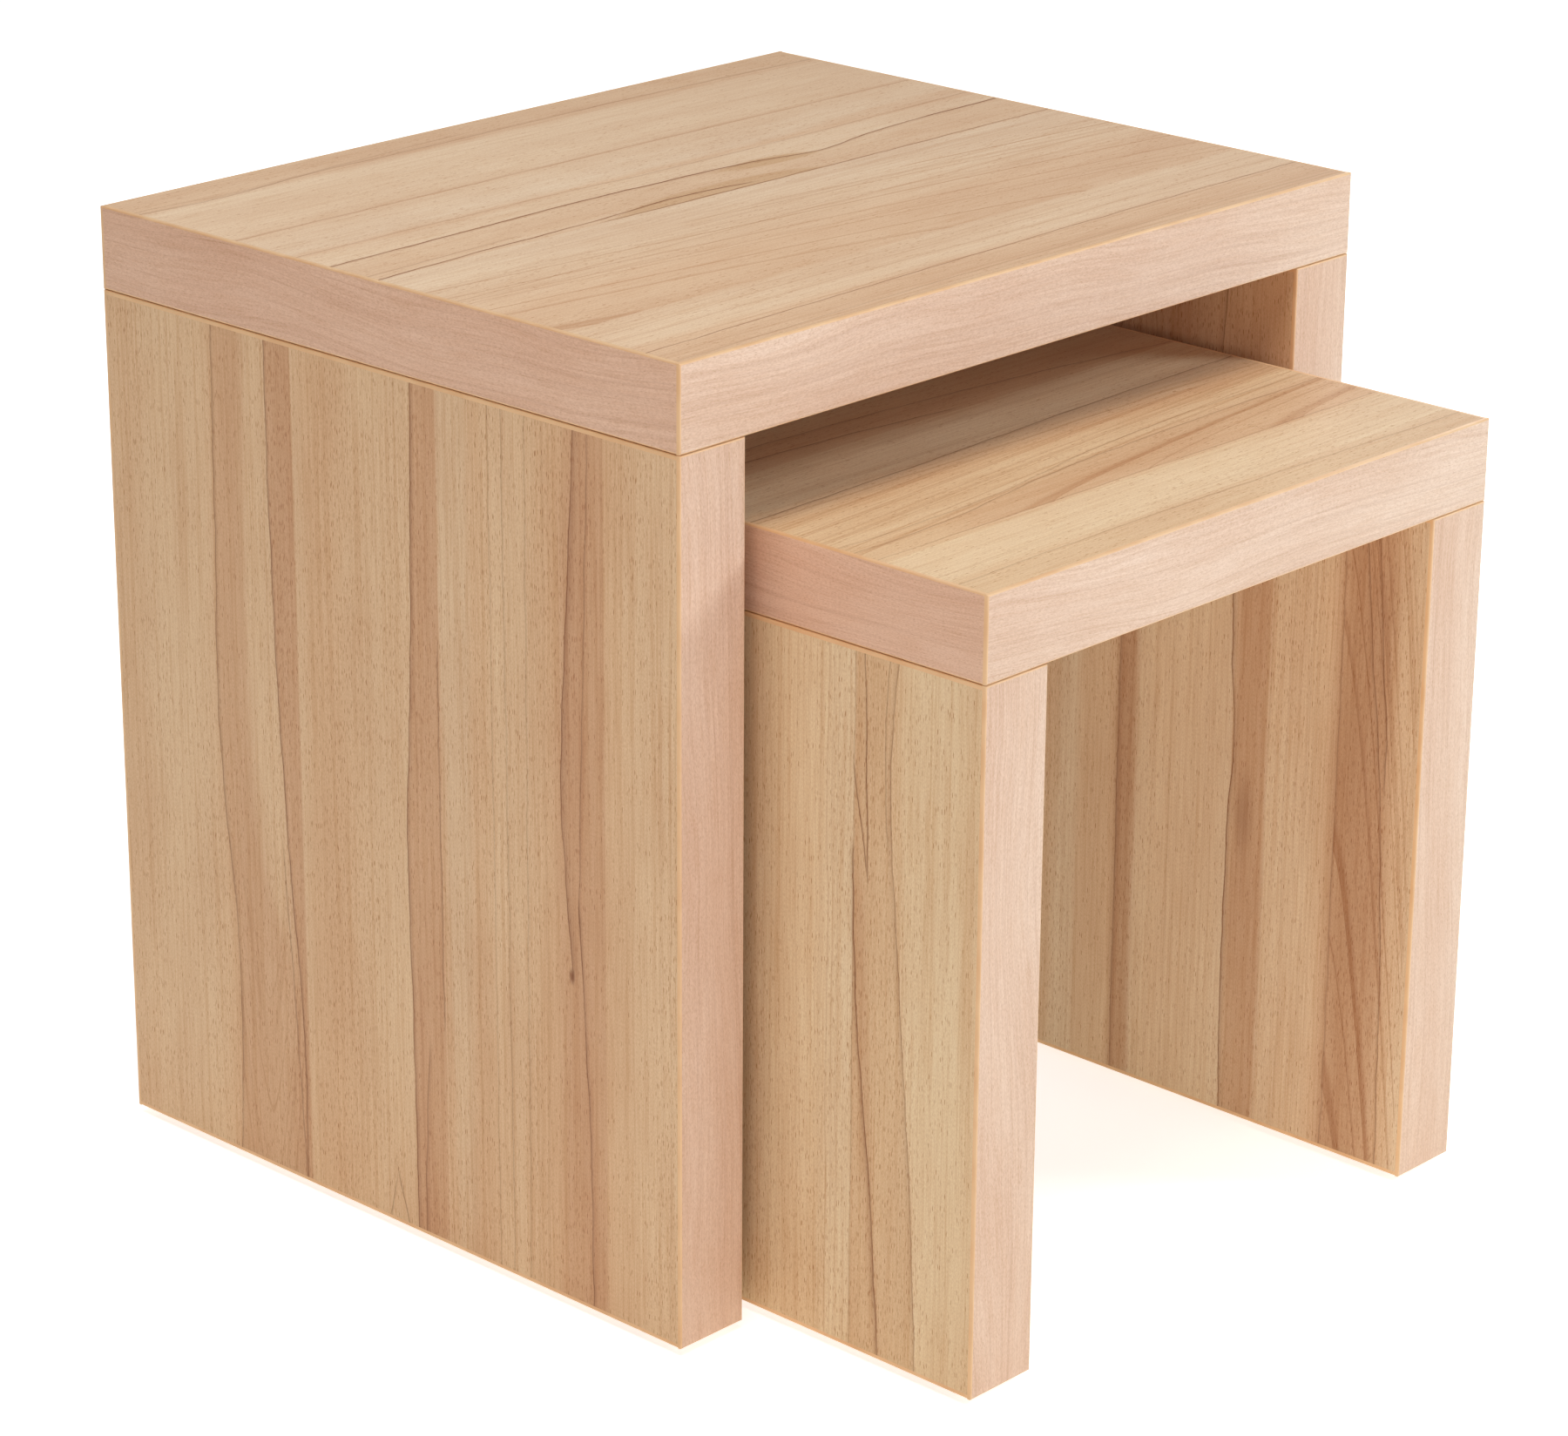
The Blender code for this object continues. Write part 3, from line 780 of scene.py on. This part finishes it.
def finishPiece(bm, name, materials, body, nodes, smoothAngle=30):
    bmesh.ops.recalc_face_normals(bm, faces=bm.faces)
    mesh = bpy.data.meshes.new(name)
    bm.to_mesh(mesh)
    bm.free()
    for material in materials:
        mesh.materials.append(material)
    mesh.shade_smooth()
    mesh.set_sharp_from_angle(angle=math.radians(smoothAngle))
    piece = bpy.data.objects.new(name, mesh)
    bpy.context.scene.collection.objects.link(piece)
    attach(piece, body)
    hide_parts(*nodes)


def addBand(node, board, body, prints, bodyMaterial):
    low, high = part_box(node)
    boardLow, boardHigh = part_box(board)
    centre = (low + high) / 2
    boardCentre = (boardLow + boardHigh) / 2
    apart = centre - boardCentre
    extents = high - low
    thin = min(range(3), key=lambda axis: extents[axis])  # the band's thickness runs along this axis
    outward = 1 if apart[thin] > 0 else -1
    # the band is glued on, so its inner side reaches the board
    if outward > 0:
        low[thin] = boardHigh[thin]
    else:
        high[thin] = boardLow[thin]
    size = high - low
    bm = bmesh.new()
    bmesh.ops.create_cube(bm, size=1.0)
    bmesh.ops.scale(bm, vec=size, verts=bm.verts)
    bmesh.ops.translate(bm, vec=(low + high) / 2, verts=bm.verts)
    outer = [edge for edge in bm.edges
             if all((vert.co[thin] - centre[thin]) * outward > 0 for vert in edge.verts)]
    long = max(range(3), key=lambda axis: size[axis])
    if not node.endswith(("front", "back")):  # these run between the front and back bands
        outer = [edge for edge in outer
                 if abs((edge.verts[0].co - edge.verts[1].co)[long]) > size[long] / 2]
    bmesh.ops.bevel(bm, geom=outer, offset=edging["edgeRadius"] * millimetre, offset_type="OFFSET",
                    segments=edging["edgeSegments"], profile=0.5, affect="EDGES", material=-1)
    bmesh.ops.recalc_face_normals(bm, faces=bm.faces)
    for face in bm.faces:
        face.material_index = 0 if face.normal[thin] * outward > 0.99 else 1
    finishPiece(bm, node.replace("band", "edging"), [prints["XYZ"[long]], bodyMaterial], body,
                [node])


edgingPrints = {direction: makeEdgingPrint(direction) for direction in "XYZ"}
edgingBody = makeEdgingBody()
bandsOfTop = ("front", "back", "left", "right")
bandsOfSide = ("front", "back", "upper", "lower")
for table in tables:
    body = table + "_table"
    for edge in bandsOfTop:
        addBand(f"{table}_top_band_{edge}", f"{table}_top_board", body, edgingPrints, edgingBody)
    for side in sides:
        for edge in bandsOfSide:
            addBand(f"{table}_{side}_band_{edge}", f"{table}_{side}_board", body, edgingPrints, edgingBody)
print("edging glued on")


# dowels

dowel = {"flutes": 20, "fluteDepth": 0.35, "chamfer": 1.2, "wood": (222, 186, 146), "roughness": 0.75}


def makeDowelWood():
    material, tree, shader = startMaterial("bare beech", dowel["roughness"], 0.25)
    parts = objectPlace(tree)
    around = calc(tree, "ADD", parts["X"], parts["Y"])
    colour, height = paintGrain(tree, tone(*dowel["wood"]), around, parts["Z"], 8.0, 0.5)
    setSurface(tree, shader, colour, dowel["roughness"], height, 0.4, 0.1)
    return material


def addDowel(node, body, material):  # a fluted peg with chamfered ends
    low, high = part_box(node)
    radius = (high.x - low.x) / 2
    height = high.z - low.z
    bm = bmesh.new()
    bmesh.ops.create_cone(bm, cap_ends=True, segments=4 * dowel["flutes"], radius1=radius, radius2=radius,
                          depth=height)
    inner = radius - dowel["fluteDepth"] * millimetre
    for vert in bm.verts:
        angle = math.atan2(vert.co.y, vert.co.x)
        step = round(angle / (2 * math.pi) * 4 * dowel["flutes"]) % 4
        if step == 0:
            vert.co.xy *= inner / radius
    rims = [edge for edge in bm.edges if abs(edge.verts[0].co.z - edge.verts[1].co.z) < height / 2]
    bmesh.ops.bevel(bm, geom=rims, offset=dowel["chamfer"] * millimetre, offset_type="OFFSET", segments=1,
                    profile=0.5, affect="EDGES", material=-1)
    bmesh.ops.translate(bm, vec=(low + high) / 2, verts=bm.verts)
    finishPiece(bm, node + "_fluted", [material], body, [node], 25)


dowelWood = makeDowelWood()
for table in tables:
    for side in sides:
        for number in range(1, 5):
            addDowel(f"{table}_{side}_dowel_{number}", table + "_table", dowelWood)
print("dowels made")


# glides

glide = {
    "rimRadius": 0.8,
    "hubRadius": 3.4,
    "groove": 0.5,
    "lip": 0.4,
    "gap": 0.1,  # under the board
    "nailRadius": 1.2,
    "plastic": (202, 168, 128),
    "plasticDark": (190, 154, 114),
    "steel": (190, 192, 196),
    "steelDark": (150, 152, 156),
}


def makeGlidePlastic():
    material, tree, shader = startMaterial("glide plastic", 0.42, 0.5)
    mottle = smoothStep(tree, objectNoise(tree, 300.0, 3.0), 0.3, 0.7)
    colour = mixTone(tree, mottle, tone(*glide["plastic"]), tone(*glide["plasticDark"]))
    scuffs = objectNoise(tree, 1500.0, 2.0)
    roughness = smoothStep(tree, scuffs, 0.3, 0.7, 0.36, 0.58)
    setSurface(tree, shader, colour, roughness, scuffs, 0.25, 0.03)
    return material


def makeNailSteel():
    material, tree, shader = startMaterial("nail steel", 0.32)
    mottle = objectNoise(tree, 900.0, 3.0)
    shader.inputs["Metallic"].default_value = 1.0
    colour = mixTone(tree, mottle, tone(*glide["steel"]), tone(*glide["steelDark"]))
    connect(tree, shader.inputs["Base Color"], colour)
    connect(tree, shader.inputs["Roughness"], smoothStep(tree, mottle, 0.3, 0.7, 0.25, 0.45))
    return material


def turnProfile(bm, profile, segments):  # a closed turned solid from (radius, height) points, top to bottom
    verts = [bm.verts.new((radius, 0, height)) for radius, height in profile]
    edges = [bm.edges.new(pair) for pair in zip(verts, verts[1:])]
    bmesh.ops.spin(bm, geom=verts + edges, cent=(0, 0, 0), axis=(0, 0, 1), angle=2 * math.pi,
                   steps=segments, use_merge=True)
    bmesh.ops.remove_doubles(bm, verts=bm.verts, dist=1e-6)


def addGlide(node, body, materials):
    low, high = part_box(node)
    centre = (low + high) / 2
    radius = (high.x - low.x) / 2
    board = node.split("_glide")[0] + "_board"
    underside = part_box(board)[0].z - edgingThickness * millimetre
    rim = glide["rimRadius"] * millimetre
    hub = glide["hubRadius"] * millimetre
    groove = glide["groove"] * millimetre
    bm = bmesh.new()
    lip = glide["lip"] * millimetre
    top = underside - glide["gap"] * millimetre
    outline = [(0, top), (radius - lip, top), (radius, top - lip)]
    arcSteps = 5
    for step in range(arcSteps + 1):
        turn = math.pi / 2 * step / arcSteps
        outline.append((radius - rim + rim * math.cos(turn), low.z + rim - rim * math.sin(turn)))
    outline += [(hub + 2 * groove, low.z), (hub + 1.5 * groove, low.z + groove),
                (hub + 0.5 * groove, low.z + groove), (hub, low.z), (0, low.z)]
    turnProfile(bm, outline, 64)
    plasticFaces = len(bm.faces)
    nail = glide["nailRadius"] * millimetre
    turnProfile(bm, [(0, high.z), (nail, high.z - 3 * nail), (nail, underside), (0, underside)], 24)
    bm.faces.ensure_lookup_table()
    for face in bm.faces[plasticFaces:]:
        face.material_index = 1
    bmesh.ops.translate(bm, vec=(centre.x, centre.y, 0), verts=bm.verts)
    finishPiece(bm, node + "_foot", materials, body, [node], 35)


glideMaterials = [makeGlidePlastic(), makeNailSteel()]
for table in tables:
    for side in sides:
        for end in ("front", "back"):
            addGlide(f"{table}_{side}_glide_{end}", table + "_table", glideMaterials)
print("glides made")


# stage, light and camera

studio = {
    "floor": (244, 244, 243),
    "floorSeen": 0.62,
    "floorGlow": 0.41,
    "glowColour": (0.94, 1.0, 0.82),
    "floorSize": 12.0,
    "floorGap": 0.0002,
    "ambient": 0.08,
    "aim": (0, 0, 0.25),
    "distance": 2.6,
    "view": {"location": (-1.5558, -1.42798, 0.98419), "turn": (69.669, -0.348, -46.775), "lens": 112.42},
}
# azimuth is measured from the front towards the right
lamps = {
    "key": {"azimuth": 45, "elevation": 30, "size": 0.7, "power": 27.0, "colour": (0.84, 0.96, 1.0)},
    "front": {"azimuth": 0, "elevation": 12, "size": 1.2, "power": 15.0, "colour": (0.59, 0.76, 1.0)},
    "left": {"azimuth": -60, "elevation": 8, "size": 1.2, "power": 10.5, "colour": (1.0, 0.69, 0.54)},
    "overhead": {"azimuth": -45, "elevation": 72, "size": 1.2, "power": 33.6, "colour": (1.0, 0.88, 0.72)},
    "top": {"azimuth": 180, "elevation": 62, "size": 1.4, "power": 15.9, "colour": (0.62, 0.83, 1.0)},
    "right": {"azimuth": 105, "elevation": 18, "size": 1.2, "power": 13.5, "colour": (1.0, 1.0, 1.0)},
    "behind": {"azimuth": 172, "elevation": 16, "size": 1.2, "power": 13.5, "colour": (1.0, 1.0, 1.0)},
}


def addFloor():
    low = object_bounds()[0]
    bm = bmesh.new()
    bmesh.ops.create_grid(bm, x_segments=8, y_segments=8, size=studio["floorSize"] / 2)
    bmesh.ops.translate(bm, vec=(0, 0, low[2] - studio["floorGap"]), verts=bm.verts)
    mesh = bpy.data.meshes.new("floor")
    bm.to_mesh(mesh)
    bm.free()
    material, tree, shader = startMaterial("pale floor", 0.9, 0.0)
    shader.inputs["Base Color"].default_value = tone(*studio["floor"])
    direct = addNode(tree, "LightPath").outputs["Is Camera Ray"]
    glow = [studio["floorGlow"] * value for value in studio["glowColour"]]
    seen = studio["floorSeen"]
    connect(tree, shader.inputs["Emission Color"], mixTone(tree, direct, (*glow, 1), (seen, seen, seen, 1)))
    shader.inputs["Emission Strength"].default_value = 1.0
    mesh.materials.append(material)
    floor = bpy.data.objects.new("floor", mesh)
    bpy.context.scene.collection.objects.link(floor)


def addBackground():
    world = bpy.data.worlds.new("studio")
    world.use_nodes = True
    tree = world.node_tree
    tree.nodes.clear()
    direct = addNode(tree, "LightPath").outputs["Is Camera Ray"]
    strength = mixValue(tree, direct, studio["ambient"], 1.0)
    mixed = addNode(tree, "Background", {"Color": (1, 1, 1, 1), "Strength": strength})
    output = tree.nodes.new("ShaderNodeOutputWorld")
    tree.links.new(mixed.outputs[0], output.inputs["Surface"])
    bpy.context.scene.world = world


def addLamp(name, lamp):
    light = bpy.data.lights.new(name, "AREA")
    light.shape = "DISK"
    light.size = lamp["size"]
    light.energy = lamp["power"]
    light.color = lamp["colour"]
    azimuth = math.radians(lamp["azimuth"])
    elevation = math.radians(lamp["elevation"])
    target = Vector(studio["aim"])
    towards = Vector((math.sin(azimuth) * math.cos(elevation), -math.cos(azimuth) * math.cos(elevation),
                      math.sin(elevation)))
    holder = bpy.data.objects.new(name, light)
    holder.location = target + towards * studio["distance"]
    holder.rotation_euler = towards.to_track_quat("Z", "Y").to_euler()
    bpy.context.scene.collection.objects.link(holder)


def addCamera():
    view = studio["view"]
    camera = bpy.data.cameras.new("camera")
    camera.lens = view["lens"]
    camera.sensor_width = 36
    holder = bpy.data.objects.new("camera", camera)
    holder.location = view["location"]
    holder.rotation_euler = [math.radians(angle) for angle in view["turn"]]
    bpy.context.scene.collection.objects.link(holder)
    bpy.context.scene.camera = holder


addFloor()
addBackground()
for name, lamp in lamps.items():
    addLamp(name, lamp)
addCamera()
bpy.context.scene.view_settings.view_transform = "Standard"
print("stage set")
